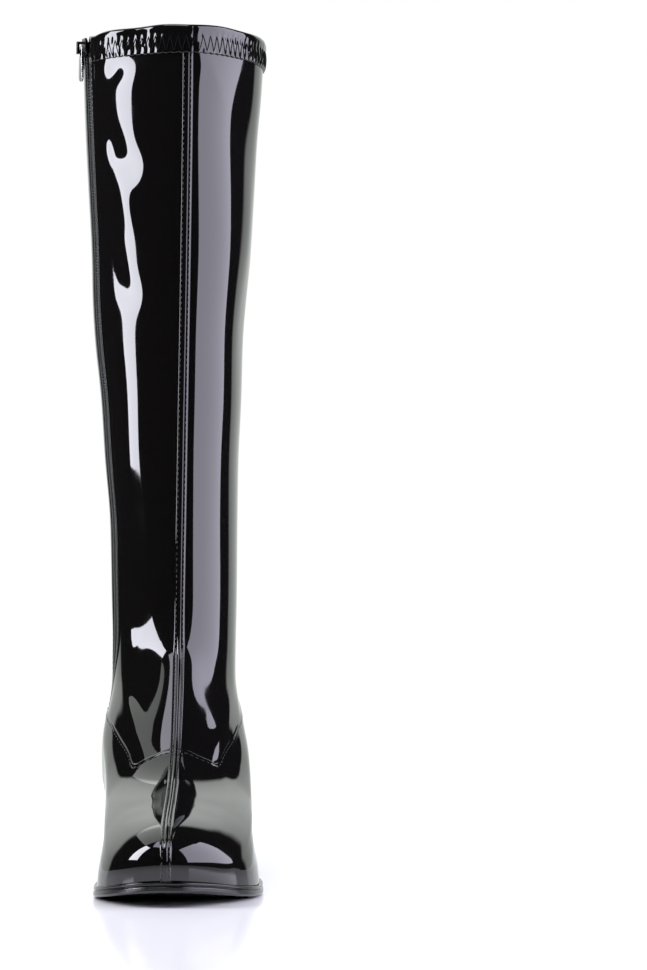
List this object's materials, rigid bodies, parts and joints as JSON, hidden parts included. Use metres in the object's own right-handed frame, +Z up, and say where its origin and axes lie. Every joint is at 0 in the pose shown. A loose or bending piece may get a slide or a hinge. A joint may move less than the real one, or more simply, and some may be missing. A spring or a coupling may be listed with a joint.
{
  "type": "go go boot",
  "caption": "Knee-high go go boot for the left foot in black stretch patent, with raised front seam, inner side zip and low block heel.",
  "frame": {"origin": "on the floor, under the middle of the heel's top lift", "axes": "+Z up along the shaft; the toe points to -Y; the inner (medial) side with the zip is -X"},
  "size_m": [0.0995, 0.2646, 0.432],
  "materials": {
    "patent": "mirror gloss polyurethane on knit",
    "insole_cloth": "brushed cloth",
    "sole_rubber": "satin, grooved edge",
    "heel_cover": "gloss",
    "top_lift": "matt",
    "zip_tape": "woven polyester",
    "zip_coil": "nylon coil",
    "zip_slider_metal": "black lacquered zinc",
    "zip_metal": "satin nickel plate"
  },
  "bodies": {
    "boot": {"upper": "patent", "insole": "insole_cloth", "outsole": "sole_rubber", "heel": "heel_cover", "heel_top_lift": "top_lift", "zip_tape_front": "zip_tape", "zip_tape_back": "zip_tape", "zip_chain": "zip_coil", "zip_slider": "zip_slider_metal"},
    "zip_pull": {"zip_pull_tab": "zip_metal"}
  },
  "joints": [
    {"name": "pull_tab_swing", "type": "hinge", "parent": "boot", "child": "zip_pull", "pos_m": [-0.05002, -0.02543, 0.425], "axis": [-0.2995, 0.9541, 0], "range_deg": [0, 170]}
  ]
}
